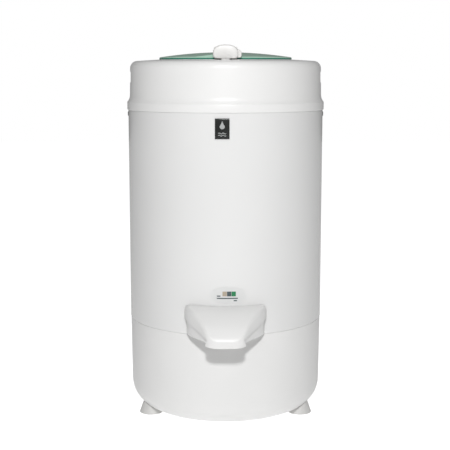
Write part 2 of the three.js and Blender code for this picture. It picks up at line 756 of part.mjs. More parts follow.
addPart("brake_drum", turned([
  [shaftRadius + seatGap, brakeDrumBottom],
  [20, brakeDrumBottom],
  [20, brakeDrumBottom + 4],
  [brakeDrumRadius - 5, brakeDrumBottom + 4],
  [brakeDrumRadius - 5, brakeDrumBottom],
  [brakeDrumRadius, brakeDrumBottom],
  [brakeDrumRadius, brakeDrumBottom + brakeDrumHeight],
  [shaftRadius + seatGap, brakeDrumBottom + brakeDrumHeight],
], 32), "castIron");

// Motor
const bearingRadius = 13;
const shell = 3;
const flangeRadius = motorRadius + 10;
addPart("motor_housing", turned([
  [bearingRadius + seatGap, motorBottom],
  [motorRadius, motorBottom],
  [motorRadius, plateTop + seatGap],
  [flangeRadius, plateTop + seatGap],
  [flangeRadius, plateTop + seatGap + shell],
  [motorRadius, plateTop + seatGap + shell],
  [motorRadius, motorTop],
  [bearingRadius + seatGap, motorTop],
  [bearingRadius + seatGap, motorTop - shell],
  [motorRadius - shell, motorTop - shell],
  [motorRadius - shell, motorBottom + shell],
  [bearingRadius + seatGap, motorBottom + shell],
], 32), "aluminium");
addPart("motor_stator", ring(38, motorRadius - shell - seatGap, motorBottom + 20, motorTop - 20, 32), "castIron");
addPart("motor_rotor", ring(shaftRadius + seatGap, 36.5, motorBottom + 18, motorTop - 18, 32), "darkSteel");
addPart("bearing_upper", ring(shaftRadius + seatGap, bearingRadius, motorTop - 8, motorTop, 24), "steel");
addPart("bearing_lower", ring(shaftRadius + seatGap, bearingRadius, motorBottom, motorBottom + 8, 24), "steel");
let fan = cylinder(15, shaftBottom + 4, motorBottom - 6, 24).add(
  ring(13, 52, shaftBottom + 4, shaftBottom + 6, 24));
for (let blade = 0; blade < 8; blade += 1) {
  fan = fan.add(box(2, 38, 10).translate([0, -32, shaftBottom + 10.5]).rotate([0, 0, blade * 45]));
}
addPart("cooling_fan", fan.subtract(cylinder(shaftRadius + seatGap, 0, motorBottom, 24)), "greyPlastic");
addPart("motor_plate", ring(motorRadius + seatGap, mountCircle + 17, plateHeight, plateTop, 32), "steel");
mountAngles.forEach((degrees, index) => {
  const block = cylinder(mountRadius, postTop + seatGap, plateHeight - seatGap, 24);
  addPart("rubber_mount_" + (index + 1), placed(block, mountCircle, degrees), "rubber");
});
addPart("capacitor", placed(cylinder(17, baseBottom + baseWall + seatGap, 84, 20), 102, 120), "aluminium");

// Drain spout: a hood that widens towards the casing, open below
const hoodTop = outletTop + 16.3;
const hoodRows = [
  { reach: -0.35, half: 68.5, drop: 0, bead: 20 },
  { reach: 0, half: 68.5, drop: 0, bead: 20 },
  { reach: 0.17, half: 64, drop: 1, bead: 22.5 },
  { reach: 0.37, half: 55.5, drop: 5, bead: 27.5 },
  { reach: 0.57, half: 46, drop: 12.5, bead: 32.5 },
  { reach: 0.74, half: 38, drop: 21.5, bead: 36.5 },
  { reach: 0.86, half: 33, drop: 29.5, bead: 41 },
  { reach: 0.935, half: 28, drop: 36.5, bead: 51 },
  { reach: 0.98, half: 21, drop: 41.5, bead: 53 },
  { reach: 1, half: 12, drop: 44, bead: 53 },
];
const lipBottom = hoodTop - 55;
const skirtLow = hoodTop - 46;
function hoodOutline({ reach, half, drop, bead }, inset, low) {
  const distance = casingRadius + reach * (spoutProjection - inset);
  const edge = hoodTop - bead;
  const points = [[-(half - inset), low ?? edge - 2]];
  const crown = hoodTop - drop - inset;
  for (let step = 0; step <= 10; step += 1) {
    const angle = radians(180 - 18 * step);
    const side = Math.sign(Math.cos(angle)) * Math.pow(Math.abs(Math.cos(angle)), 0.5);
    points.push([side * (half - inset), edge + (crown - edge) * Math.pow(Math.sin(angle), 0.5)]);
  }
  points.push([half - inset, low ?? edge - 2]);
  return points.map(([x, height]) => [x, -distance, height]);
}
const hood = loft(hoodRows.map((row) => hoodOutline(row, 0)));
const skirtInset = 2.5;
const sideSkirt = loft(hoodRows.slice(0, -2).map((row) => hoodOutline(row, skirtInset, skirtLow)));
const hoodHollow = loft(hoodRows.map((row) => hoodOutline(row, skirtInset + spoutWall, lipBottom - 12)));
const inCasing = ring(60, casingRadius + seatGap, lipBottom - 20, hoodTop + 20);
const spout = hood.add(sideSkirt).subtract(hoodHollow).subtract(inCasing);
addPart("drain_spout", spout, "whitePlastic");

// Badge and label, both curved to lie on the casing
const badgeMiddle = -1.8;
const badgeHalf = 3.75;
addPart("badge", arcBlock({
  inner: casingRadius + seatGap,
  outer: casingRadius + 1.4,
  from: badgeMiddle - badgeHalf,
  to: badgeMiddle + badgeHalf,
  bottom: bandBottom - 42,
  top: bandBottom - 9,
  steps: 4,
}), "black");
const labelMiddle = 1.5;
const labelHalf = 9.8;
const labelHeight = hoodTop + 18;
const labelEdge = (degrees) => 3 + 11 * Math.sqrt(Math.max(0, 1 - ((degrees - labelMiddle) / labelHalf) ** 2));
addPart("drain_label", arcBlock({
  inner: casingRadius + seatGap,
  outer: casingRadius + 0.8,
  from: labelMiddle - labelHalf,
  to: labelMiddle + labelHalf,
  bottom: (degrees) => labelHeight - labelEdge(degrees),
  top: (degrees) => labelHeight + labelEdge(degrees),
  steps: 12,
}), "label");

export default root;
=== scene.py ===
import bpy
import json
import math
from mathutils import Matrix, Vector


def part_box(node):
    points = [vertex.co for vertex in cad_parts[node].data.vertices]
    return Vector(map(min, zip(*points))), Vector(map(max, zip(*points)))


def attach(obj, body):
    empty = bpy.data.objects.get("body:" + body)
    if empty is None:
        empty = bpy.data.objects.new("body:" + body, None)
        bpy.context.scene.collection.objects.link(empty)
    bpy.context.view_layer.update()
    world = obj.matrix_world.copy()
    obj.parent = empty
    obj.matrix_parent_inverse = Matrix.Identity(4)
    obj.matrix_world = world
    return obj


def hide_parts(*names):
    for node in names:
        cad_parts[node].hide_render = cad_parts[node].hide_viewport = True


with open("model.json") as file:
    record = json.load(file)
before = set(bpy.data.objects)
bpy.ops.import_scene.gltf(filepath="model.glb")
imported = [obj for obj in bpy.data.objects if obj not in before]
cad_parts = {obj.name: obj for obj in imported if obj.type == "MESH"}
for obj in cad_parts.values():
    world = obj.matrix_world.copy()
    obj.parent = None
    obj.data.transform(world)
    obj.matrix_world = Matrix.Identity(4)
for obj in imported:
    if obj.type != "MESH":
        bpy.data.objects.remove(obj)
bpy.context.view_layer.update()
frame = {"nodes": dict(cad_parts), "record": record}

mm = 0.001
nodes = frame["nodes"]
casingLow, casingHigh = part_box("casing")
axisY = (casingLow[1] + casingHigh[1]) / 2  # the drum's axis
casingRadius = (casingHigh[0] - casingLow[0]) / 2
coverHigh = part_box("top_cover")[1]
lidLow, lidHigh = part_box("lid")
baseLow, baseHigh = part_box("base_tub")
knobLow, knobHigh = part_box("latch_knob")
badgeLow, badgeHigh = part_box("badge")
print("frame loaded", round(axisY, 4), round(casingRadius, 4))


# small helpers for modelling

def deselectAll():
    if bpy.context.object and bpy.context.object.mode != "OBJECT":
        bpy.ops.object.mode_set(mode="OBJECT")
    bpy.ops.object.select_all(action="DESELECT")


def pick(obj):
    deselectAll()
    obj.select_set(True)
    bpy.context.view_layer.objects.active = obj


def applyPlace(obj):
    pick(obj)
    bpy.ops.object.transform_apply(location=True, rotation=True, scale=True)


def around(distance, degrees, height):
    angle = math.radians(degrees)
    return (distance * math.sin(angle), axisY - distance * math.cos(angle), height)


def smooth(obj, degrees=35):
    pick(obj)
    bpy.ops.object.shade_smooth_by_angle(angle=math.radians(degrees))


def tidyMesh(obj):
    pick(obj)
    bpy.ops.object.mode_set(mode="EDIT")
    bpy.ops.mesh.select_all(action="SELECT")
    bpy.ops.mesh.remove_doubles(threshold=0.000005)
    bpy.ops.mesh.normals_make_consistent(inside=False)
    bpy.ops.object.mode_set(mode="OBJECT")


def turnedShell(name, profile, steps=144):
    # a closed outline of [radius, height] in mm, drawn as a circle that is extruded and resized
    deselectAll()
    radius, height = profile[0]
    bpy.ops.mesh.primitive_circle_add(vertices=steps, radius=radius * mm, location=(0, axisY, height * mm))
    obj = bpy.context.object
    obj.name = name
    bpy.ops.object.mode_set(mode="EDIT")
    bpy.ops.mesh.select_all(action="SELECT")
    for (fromRadius, fromHeight), (toRadius, toHeight) in zip(profile, profile[1:] + profile[:1]):
        rise = (toHeight - fromHeight) * mm
        scale = toRadius / fromRadius
        bpy.ops.mesh.extrude_edges_move(TRANSFORM_OT_translate={"value": (0, 0, rise)})
        bpy.ops.transform.resize(value=(scale, scale, 1), center_override=(0, axisY, toHeight * mm))
    bpy.ops.object.mode_set(mode="OBJECT")
    applyPlace(obj)
    tidyMesh(obj)
    return obj


def roundBar(name, radius, start, end, vertices=32):
    # a cylinder between two points
    deselectAll()
    dx, dy, dz = (b - a for a, b in zip(start, end))
    length = math.sqrt(dx * dx + dy * dy + dz * dz)
    middle = tuple((a + b) / 2 for a, b in zip(start, end))
    tilt = (0, math.acos(dz / length), math.atan2(dy, dx))
    bpy.ops.mesh.primitive_cylinder_add(
        vertices=vertices, radius=radius, depth=length, location=middle, rotation=tilt)
    obj = bpy.context.object
    obj.name = name
    applyPlace(obj)
    return obj


def arcBlock(name, inner, outer, fromDegrees, toDegrees, low, high, steps=24):
    # a plane at one end, spun about the drum's axis
    deselectAll()
    place = around((inner + outer) / 2 * mm, fromDegrees, (low + high) / 2 * mm)
    bpy.ops.mesh.primitive_plane_add(size=1, location=place, rotation=(0, math.pi / 2, math.radians(fromDegrees)))
    obj = bpy.context.object
    obj.name = name
    obj.scale = ((high - low) * mm, (outer - inner) * mm, 1)
    applyPlace(obj)
    bpy.ops.object.mode_set(mode="EDIT")
    bpy.ops.mesh.select_all(action="SELECT")
    bpy.ops.mesh.spin(  # a positive angle turns towards the left here
        steps=steps, angle=math.radians(fromDegrees - toDegrees), center=(0, axisY, 0), axis=(0, 0, 1))
    bpy.ops.object.mode_set(mode="OBJECT")
    tidyMesh(obj)
    return obj


def combine(target, other, operation):
    pick(target)
    step = target.modifiers.new("combine", "BOOLEAN")
    step.operation = operation
    step.solver = "EXACT"
    step.object = other
    bpy.ops.object.modifier_apply(modifier=step.name)
    bpy.data.objects.remove(other, do_unlink=True)


def roundEdges(obj, width, segments=3, degrees=40):
    pick(obj)
    step = obj.modifiers.new("edges", "BEVEL")
    step.width = width * mm
    step.segments = segments
    step.limit_method = "ANGLE"
    step.angle_limit = math.radians(degrees)
    step.harden_normals = False
    bpy.ops.object.modifier_apply(modifier=step.name)


def arcPoints(centreRadius, centreHeight, radius, fromDegrees, toDegrees, steps):
    points = []
    for step in range(steps + 1):
        angle = math.radians(fromDegrees + (toDegrees - fromDegrees) * step / steps)
        points.append((centreRadius + radius * math.cos(angle), centreHeight + radius * math.sin(angle)))
    return points


def finerCopy(nodeName, edge=0.4, degrees=30):
    # a CAD node's own shape with its corners merged, its edges rounded and its faces smooth
    source = nodes[nodeName]
    obj = source.copy()
    obj.data = source.data.copy()
    obj.name = nodeName + "_fine"
    obj.parent = None
    bpy.context.collection.objects.link(obj)
    obj.matrix_world = source.matrix_world.copy()
    applyPlace(obj)
    bpy.ops.object.mode_set(mode="EDIT")
    bpy.ops.mesh.select_all(action="SELECT")
    bpy.ops.mesh.remove_doubles(threshold=0.00001)
    bpy.ops.mesh.dissolve_limited(angle_limit=math.radians(0.5))
    bpy.ops.object.mode_set(mode="OBJECT")
    if edge:
        roundEdges(obj, edge, 2, degrees)
    smooth(obj, degrees)
    return obj


# casing and base

casingSizes = {"sheet": 1.2, "hem": 0.5, "outletHeight": 192.7, "outletWide": 54.6, "outletHigh": 22.6}
outerMm = casingRadius / mm
seamMm = casingLow[2] / mm
casingTopMm = casingHigh[2] / mm
casing = turnedShell("casingSkin", [
    (outerMm, seamMm + casingSizes["hem"]),
    (outerMm, casingTopMm),
    (outerMm - casingSizes["sheet"], casingTopMm),
    (outerMm - casingSizes["sheet"], seamMm),
    (outerMm - casingSizes["hem"], seamMm),
])
deselectAll()
bpy.ops.mesh.primitive_cube_add(size=1, location=(0, axisY - casingRadius, casingSizes["outletHeight"] * mm))
outletCutter = bpy.context.object
outletCutter.scale = (casingSizes["outletWide"] * mm, 0.04, casingSizes["outletHigh"] * mm)
applyPlace(outletCutter)
combine(casing, outletCutter, "DIFFERENCE")
smooth(casing)
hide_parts("casing")
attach(casing, "housing")

baseSizes = {
    "rounding": 46, "wall": 3, "vent": 45, "postRadius": 11, "postCircle": 108, "bossRadius": 9, "bossLow": 18,
    "bossHigh": 58, "screwHole": 2.6, "glandHole": 9.3,
}
bottomMm = baseLow[2] / mm
baseTopMm = baseHigh[2] / mm
bendRadius = outerMm - 1.9 - baseSizes["rounding"]
bendHeight = bottomMm + baseSizes["rounding"]
base = turnedShell("baseTub", [
    (baseSizes["vent"], bottomMm),
    *arcPoints(bendRadius, bendHeight, baseSizes["rounding"], -90, 0, 16),
    (outerMm - 0.6, seamMm - 1.5),
    (outerMm - 0.9, seamMm - 0.6),
    (outerMm - 1.5, seamMm - 0.3),
    (outerMm - 1.5, baseTopMm),
    (outerMm - 4.5, baseTopMm),
    *arcPoints(bendRadius, bendHeight, baseSizes["rounding"] - baseSizes["wall"], 0, -90, 10),
    (baseSizes["vent"], bottomMm + baseSizes["wall"]),
])
for degrees in (60, 180, 300):
    low = around(baseSizes["postCircle"] * mm, degrees, (bottomMm + 1) * mm)
    high = (low[0], low[1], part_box("rubber_mount_1")[0][2] - 0.0003)
    combine(base, roundBar("post", baseSizes["postRadius"] * mm, low, high), "UNION")
for foot in ("foot_front_left", "foot_front_right", "foot_rear"):
    footLow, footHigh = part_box(foot)
    centre = ((footLow[0] + footHigh[0]) / 2, (footLow[1] + footHigh[1]) / 2)
    bossEnds = [(*centre, baseSizes[key] * mm) for key in ("bossLow", "bossHigh")]
    boss = roundBar("boss", baseSizes["bossRadius"] * mm, *bossEnds)
    combine(base, boss, "UNION")
    hole = roundBar("hole", baseSizes["screwHole"] * mm, (*centre, 0.003), (*centre, 0.054))
    combine(base, hole, "DIFFERENCE")
glandLow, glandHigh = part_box("cord_gland")
glandHeight = (glandLow[2] + glandHigh[2]) / 2
glandEnds = [(0, axisY + reach, glandHeight) for reach in (0.15, 0.19)]
combine(base, roundBar("hole", baseSizes["glandHole"] * mm, *glandEnds), "DIFFERENCE")
smooth(base)
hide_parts("base_tub")
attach(base, "housing")
print("casing and base ready")


# top cover

coverSizes = {
    "wall": 2.6, "wallRadius": 168.6, "cornerRadius": 13, "mouth": 104, "collar": 40, "gripDepth": 12,
    "gripAngle": 11, "gripHeight": 19, "slotFrom": -33.9, "slotTo": 3.9, "notchAngle": 4.5, "slotInner": 127,
    "slotOuter": 135, "notchOuter": 141.5,
}
bandLowMm = 540
bandHighMm = 555
landMm = 627
bandMm = coverHigh[0] / mm
wallMm = coverSizes["wall"]
edgeMm = coverSizes["wallRadius"] - coverSizes["cornerRadius"]
edgeHeightMm = landMm - 2.2 - coverSizes["cornerRadius"]
lidMm = (lidHigh[0] - lidLow[0]) / 2 / mm
mouthMm = coverSizes["mouth"]
cover = turnedShell("coverMoulding", [
    (bandMm - 1.5, bandLowMm),
    (bandMm - 0.5, bandLowMm),
    (bandMm - 0.1, bandLowMm + 0.5),
    (bandMm, bandLowMm + 1.4),
    (bandMm, bandHighMm - 2.2),
    (bandMm - 0.3, bandHighMm - 1),
    (bandMm - 1.1, bandHighMm - 0.2),
    (bandMm - 2.0, bandHighMm + 0.8),
    (171.2, bandHighMm + 3),
    (170.3, bandHighMm + 5.2),
    (169.8, bandHighMm + 7.5),
    (169.5, bandHighMm + 10),
    (169.4, bandHighMm + 13),
    *arcPoints(edgeMm, edgeHeightMm, coverSizes["cornerRadius"], 0, 84, 14),
    (lidMm + 4, landMm - 0.1),
    (lidMm + 2, landMm),
    (lidMm + 0.6, landMm - 0.1),
    (lidMm - 0.4, landMm - 0.4),
    (lidMm - 2.4, landMm - 1.4),
    (mouthMm + 1.5, landMm - 1.4),
    (mouthMm + 0.4, landMm - 1.8),
    (mouthMm, landMm - 2.8),
    (mouthMm, landMm - coverSizes["collar"]),
    (mouthMm + wallMm, landMm - coverSizes["collar"]),
    (mouthMm + wallMm, landMm - wallMm - 1.4),
    (lidMm, landMm - wallMm - 1),
    *arcPoints(edgeMm, edgeHeightMm, coverSizes["cornerRadius"] - wallMm, 84, 0, 8),
    (169.4 - wallMm, bandHighMm + 13),
    (outerMm - 1.5 - wallMm, bandHighMm),
    (outerMm - 1.5 - wallMm, bandLowMm - 24),
    (outerMm - 1.5, bandLowMm - 24),
    (outerMm - 1.5, casingTopMm + 0.3),
    (bandMm - 1.5, casingTopMm + 0.3),
])
gripLow = bandHighMm + 32
gripHigh = gripLow + coverSizes["gripHeight"]
for side in (-90, 90):
    span = coverSizes["gripAngle"]
    inner = coverSizes["wallRadius"] - coverSizes["gripDepth"]
    pocket = arcBlock("pocket", inner - wallMm, coverSizes["wallRadius"] - 1.2,
                      side - span - 1, side + span + 1, gripLow - wallMm, gripHigh + wallMm)
    combine(cover, pocket, "UNION")
    hollow = arcBlock("hollow", inner, coverSizes["wallRadius"] + 8, side - span, side + span, gripLow, gripHigh)
    roundEdges(hollow, 3, 4, 60)
    combine(cover, hollow, "DIFFERENCE")
slot = arcBlock("slot", coverSizes["slotInner"], coverSizes["slotOuter"], coverSizes["slotFrom"], coverSizes["slotTo"],
                landMm - 12, landMm + 4)
combine(cover, slot, "DIFFERENCE")
notch = arcBlock("notch", coverSizes["slotInner"], coverSizes["notchOuter"], -coverSizes["notchAngle"],
                 coverSizes["notchAngle"], landMm - 12, landMm + 4, 8)
combine(cover, notch, "DIFFERENCE")

hingeSizes = {"offset": 10, "rise": 7, "knuckle": 4.6, "inner": 10.5, "outer": 21, "pin": 2.1}
hingeY = axisY + (lidMm + hingeSizes["offset"]) * mm
hingeZ = (landMm + hingeSizes["rise"]) * mm
for side in (-1, 1):
    near = side * hingeSizes["inner"] * mm
    far = side * hingeSizes["outer"] * mm
    knuckle = roundBar("knuckle", hingeSizes["knuckle"] * mm, (near, hingeY, hingeZ), (far, hingeY, hingeZ), 40)
    deselectAll()
    bpy.ops.mesh.primitive_cube_add(size=1, location=((near + far) / 2, hingeY, hingeZ - 0.0045))
    pedestal = bpy.context.object
    pedestal.scale = (abs(far - near), 2 * hingeSizes["knuckle"] * mm, 0.009)
    applyPlace(pedestal)
    combine(knuckle, pedestal, "UNION")
    bore = roundBar("bore", hingeSizes["pin"] * mm, (-0.03, hingeY, hingeZ), (0.03, hingeY, hingeZ), 24)
    combine(knuckle, bore, "DIFFERENCE")
    combine(cover, knuckle, "UNION")
smooth(cover, 32)
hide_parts("top_cover")
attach(cover, "housing")
print("top cover ready")


# lid

lidSizes = {"rim": 4.6, "dome": 8.6, "wall": 3, "wedgeFrom": -32, "wedgeTo": 10.5, "wedgeRise": 7.5, "hub": 11}
rimLowMm = landMm - 0.2
rimHighMm = rimLowMm + lidSizes["rim"]
domeTopMm = rimHighMm + lidSizes["dome"]
domeEdgeMm = lidMm - 3
locateMm = mouthMm - 1.2


def domeHeight(radius, drop=0):
    return domeTopMm - drop - lidSizes["dome"] * (radius / domeEdgeMm) ** 2


topRadii = [4.4, 8, 16, 26, 38, 50, 62, 74, 86, 98, 107, domeEdgeMm]
lid = turnedShell("lidMoulding", [
    *[(radius, domeHeight(radius)) for radius in topRadii],
    (lidMm - 1.4, rimHighMm - 0.2),
    (lidMm - 0.5, rimHighMm - 0.8),
    (lidMm, rimHighMm - 1.8),
    (lidMm, rimLowMm + 0.9),
    (lidMm - 0.6, rimLowMm + 0.3),
    (locateMm, rimLowMm + 0.3),
    (locateMm, landMm - 11),
    (locateMm - 2, landMm - 11),
    (locateMm - 2, rimLowMm + 1.8),
    *[(radius, domeHeight(radius, lidSizes["wall"])) for radius in (90, 74, 50, 26, 4.4)],
])
hubEnds = [(0, axisY, (domeTopMm + rise) * mm) for rise in (-2, 1.4)]
hub = roundBar("hub", lidSizes["hub"] * mm, *hubEnds, 64)
roundEdges(hub, 0.5)
combine(hub, roundBar("hole", 0.0044, (0, axisY, 0.62), (0, axisY, 0.66), 32), "DIFFERENCE")
combine(lid, hub, "UNION")
wedge = arcBlock("wedge", lidMm - 12, lidMm - 0.1, lidSizes["wedgeFrom"], lidSizes["wedgeTo"],
                 rimHighMm - 2.2, rimHighMm + lidSizes["wedgeRise"], 32)
wedgeLeft = around((lidMm - 7) * mm, lidSizes["wedgeFrom"], (rimHighMm - 1) * mm)
wedgeRight = around((lidMm - 7) * mm, lidSizes["wedgeTo"], (rimHighMm + lidSizes["wedgeRise"]) * mm)
slope = (wedgeRight[2] - wedgeLeft[2]) / (wedgeRight[0] - wedgeLeft[0])
pick(wedge)
bpy.ops.object.mode_set(mode="EDIT")
bpy.ops.mesh.select_all(action="SELECT")
bpy.ops.mesh.bisect(plane_co=wedgeRight, plane_no=(-slope, 0, 1), use_fill=True, clear_outer=True)
bpy.ops.object.mode_set(mode="OBJECT")
tidyMesh(wedge)
roundEdges(wedge, 0.5, 3, 50)
combine(lid, wedge, "UNION")
earWidth = 2 * (hingeSizes["inner"] - 0.6) * mm
earFrom = axisY + (lidMm - 6) * mm
deselectAll()
bpy.ops.mesh.primitive_cube_add(size=1, location=(0, (hingeY + earFrom) / 2, (rimHighMm - 0.4) * mm))
ear = bpy.context.object
ear.scale = (earWidth, hingeY - earFrom, 0.004)
applyPlace(ear)
barrelEnds = [(side * earWidth / 2, hingeY, hingeZ) for side in (-1, 1)]
combine(ear, roundBar("barrel", hingeSizes["knuckle"] * mm, *barrelEnds, 40), "UNION")
bore = roundBar("bore", hingeSizes["pin"] * mm, (-0.03, hingeY, hingeZ), (0.03, hingeY, hingeZ), 24)
combine(ear, bore, "DIFFERENCE")
combine(lid, ear, "UNION")
smooth(lid, 30)
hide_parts("lid")
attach(lid, "lid_group")
print("lid ready")


# latch

knobSizes = {
    "archPower": 0.8, "crownPower": 0.92, "footPower": 0.4, "archFrom": 0.42, "corners": 64,
    "rows": [(0, 0.985), (0.04, 1), (0.62, 1), (0.76, 0.985), (0.87, 0.955), (0.94, 0.915), (0.98, 0.87),
             (1, 0.82)],
    "rowCentre": 0.3, "drop": 2.4, "widen": 1.05,
}


def archPrism(name, lowZ, highZ, acrossX, fromY, toY, rows):
    # a flat foot with round corners and an arch above it, drawn at the back and pulled forwards row by row
    deselectAll()
    archZ = lowZ + knobSizes["archFrom"] * (highZ - lowZ)
    middleX = (acrossX[0] + acrossX[1]) / 2
    halfX = (acrossX[1] - acrossX[0]) / 2
    bpy.ops.mesh.primitive_circle_add(vertices=knobSizes["corners"], radius=1, fill_type="NGON")
    obj = bpy.context.object
    obj.name = name
    for vertex in obj.data.vertices:
        across, up = vertex.co.x, vertex.co.y
        if up >= 0:
            power = knobSizes["archPower"]
            rise = up ** knobSizes["crownPower"] * (highZ - archZ)
        else:
            power = knobSizes["footPower"]
            rise = -((-up) ** power) * (archZ - lowZ)
        vertex.co = (middleX + math.copysign(abs(across) ** power, across) * halfX, fromY, archZ + rise)
    bpy.ops.object.mode_set(mode="EDIT")
    bpy.ops.mesh.select_all(action="SELECT")
    centre = (middleX, 0, lowZ + knobSizes["rowCentre"] * (highZ - lowZ))
    lastShare, lastScale = 0, 1
    for share, scale in rows:
        forwards = (share - lastShare) * (toY - fromY)
        bpy.ops.mesh.extrude_region_move(TRANSFORM_OT_translate={"value": (0, forwards, 0)})
        size = scale / lastScale
        bpy.ops.transform.resize(value=(size, 1, size), center_override=centre)
        lastShare, lastScale = share, scale
    bpy.ops.object.mode_set(mode="OBJECT")
    tidyMesh(obj)
    return obj


knob = archPrism("knobFace", knobLow[2] - knobSizes["drop"] * mm, knobHigh[2],
                 (knobLow[0] * knobSizes["widen"], knobHigh[0] * knobSizes["widen"]), knobHigh[1], knobLow[1],
                 knobSizes["rows"])
smooth(knob, 40)
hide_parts("latch_knob")
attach(knob, "latch_group")

armSizes = {
    "halfLeft": 20.6, "halfRight": 26.8, "behind": 118.4, "gap": 0.3, "low": 628.6, "below": 4.5, "plain": 0.6,
    "shoulder": 19.6, "rows": [(0, 0.96), (0.12, 0.99), (0.3, 1), (0.85, 1), (1, 0.97)],
}
arm = finerCopy("latch_arm", armSizes["plain"], 35)
for side in (-1, 1):  # trims the arm's wide shoulders back to the width of the backing
    deselectAll()
    beside = (side * (armSizes["shoulder"] + 20) * mm, knobHigh[1] + 0.01, 0.645)
    bpy.ops.mesh.primitive_cube_add(size=0.04, location=beside)
    trimmer = bpy.context.object
    applyPlace(trimmer)
    combine(arm, trimmer, "DIFFERENCE")
backing = archPrism("latchBacking", armSizes["low"] * mm, knobHigh[2] - armSizes["below"] * mm,
                    (-armSizes["halfLeft"] * mm, armSizes["halfRight"] * mm),
                    axisY - armSizes["behind"] * mm, knobHigh[1] + armSizes["gap"] * mm, armSizes["rows"])
smooth(arm, 35)
smooth(backing, 35)
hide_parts("latch_arm")
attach(arm, "latch_group")
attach(backing, "latch_group")
print("latch ready")


# spout

spoutSizes = {
    "wall": 2.4, "corner": 8, "lowest": 165, "rootTop": 220, "half": 68.5,
    "skirtInset": 3.5, "skirtLow": 169, "skirtTaper": 0.94, "reach": 70, "cutReach": 63, "cutAtRoot": 201,
    "cutDrop": 23,
    "rows": [(12, 64, 219), (26, 55.5, 215), (40, 46, 207.5), (52, 38, 198.5), (60, 33, 190.5),
             (65.5, 28, 183.5), (68.7, 21, 178.5), (70, 12, 176)],
}


def hoodBlock(name, inset, lowMm):
    # an upright plate with rounded upper corners, pulled forwards and narrowed row by row
    deselectAll()
    rootTop = spoutSizes["rootTop"] - inset
    half = spoutSizes["half"] - inset
    start = axisY - (outerMm - 24) * mm
    middle = (rootTop + lowMm) / 2 * mm
    bpy.ops.mesh.primitive_plane_add(size=1, location=(0, start, middle), rotation=(math.pi / 2, 0, 0))
    obj = bpy.context.object
    obj.name = name
    obj.scale = (2 * half * mm, (rootTop - lowMm) * mm, 1)
    applyPlace(obj)
    for vertex in obj.data.vertices:
        vertex.select = vertex.co.z > middle
    bpy.ops.object.mode_set(mode="EDIT")
    bpy.ops.mesh.select_mode(type="VERT")
    corner = spoutSizes["corner"] * mm
    bpy.ops.mesh.bevel(offset=corner, segments=8, profile=0.5, affect="VERTICES")
    bpy.ops.mesh.select_all(action="SELECT")
    lastOut, lastHalf, lastTop = -24, half, rootTop
    for out, rowHalf, rowTop in [(0, spoutSizes["half"], spoutSizes["rootTop"])] + spoutSizes["rows"]:
        nowOut = out * (1 - inset / spoutSizes["reach"])
        nowHalf, nowTop = rowHalf - inset, rowTop - inset
        bpy.ops.mesh.extrude_region_move(TRANSFORM_OT_translate={"value": (0, (lastOut - nowOut) * mm, 0)})
        resize = (nowHalf / lastHalf, 1, (nowTop - lowMm) / (lastTop - lowMm))
        bpy.ops.transform.resize(value=resize, center_override=(0, axisY - (outerMm + nowOut) * mm, lowMm * mm))
        lastOut, lastHalf, lastTop = nowOut, nowHalf, nowTop
    bpy.ops.object.mode_set(mode="OBJECT")
    tidyMesh(obj)
    return obj


def slopedCutter(out, heightAtRoot, drop):
    # a block whose upper face falls away from the casing
    deselectAll()
    tilt = math.atan2(drop, out)
    bpy.ops.mesh.primitive_cube_add(size=1)
    obj = bpy.context.object
    obj.scale = (0.3, 0.2, 0.1)
    applyPlace(obj)
    obj.rotation_euler = (tilt, 0, 0)
    centreDrop = 0.05
    obj.location = (0, axisY - casingRadius - out * mm + 0.1 * math.cos(tilt) + centreDrop * math.sin(tilt),
                    (heightAtRoot - drop) * mm + 0.1 * math.sin(tilt) - centreDrop * math.cos(tilt))
    applyPlace(obj)
    return obj


hood = hoodBlock("spoutHood", 0, spoutSizes["lowest"])
cutter = slopedCutter(spoutSizes["cutReach"], spoutSizes["cutAtRoot"], spoutSizes["cutDrop"])
combine(hood, cutter, "DIFFERENCE")
skirt = hoodBlock("spoutSkirt", spoutSizes["skirtInset"], spoutSizes["skirtLow"])
for vertex in skirt.data.vertices:
    if vertex.co.z < (spoutSizes["skirtLow"] + 1) * mm:
        vertex.co.x *= spoutSizes["skirtTaper"]
combine(hood, skirt, "UNION")
hollow = hoodBlock("hollow", spoutSizes["skirtInset"] + spoutSizes["wall"], spoutSizes["lowest"] - 15)
combine(hood, hollow, "DIFFERENCE")
body = roundBar("body", casingRadius + 0.0003, (0, axisY, 0.14), (0, axisY, 0.25), 144)
combine(hood, body, "DIFFERENCE")
roundEdges(hood, 0.5, 2, 50)
smooth(hood, 32)
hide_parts("drain_spout")
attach(hood, "housing")
print("spout ready")


# feet, badge and label

footSizes = {"low": 21.5, "high": 7, "height": 40, "recess": 6, "recessDepth": 6, "edge": 2}
for foot in ("foot_front_left", "foot_front_right", "foot_rear"):
    footLow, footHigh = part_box(foot)
    middleX = (footLow[0] + footHigh[0]) / 2
    middleY = (footLow[1] + footHigh[1]) / 2
    deselectAll()
    bpy.ops.mesh.primitive_cone_add(
        vertices=72, radius1=footSizes["low"] * mm, radius2=footSizes["high"] * mm,
        depth=footSizes["height"] * mm, location=(middleX, middleY, footSizes["height"] / 2 * mm))
    cone = bpy.context.object
    cone.name = foot + "_turned"
    applyPlace(cone)
    roundEdges(cone, footSizes["edge"], 4)
    for radius, top in ((footSizes["recess"], footSizes["recessDepth"]), (2.6, footSizes["height"] + 2)):
        bore = roundBar("bore", radius * mm, (middleX, middleY, -0.002), (middleX, middleY, top * mm))
        combine(cone, bore, "DIFFERENCE")
    envelope = turnedShell("envelope", [
        (1, bottomMm - 0.3),
        *arcPoints(bendRadius, bendHeight, baseSizes["rounding"] + 0.3, -90, 0, 16),
        (outerMm, bendHeight + 40),
        (1, bendHeight + 40),
    ], 96)
    combine(cone, envelope, "DIFFERENCE")
    smooth(cone)
    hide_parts(foot)
    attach(cone, "housing")


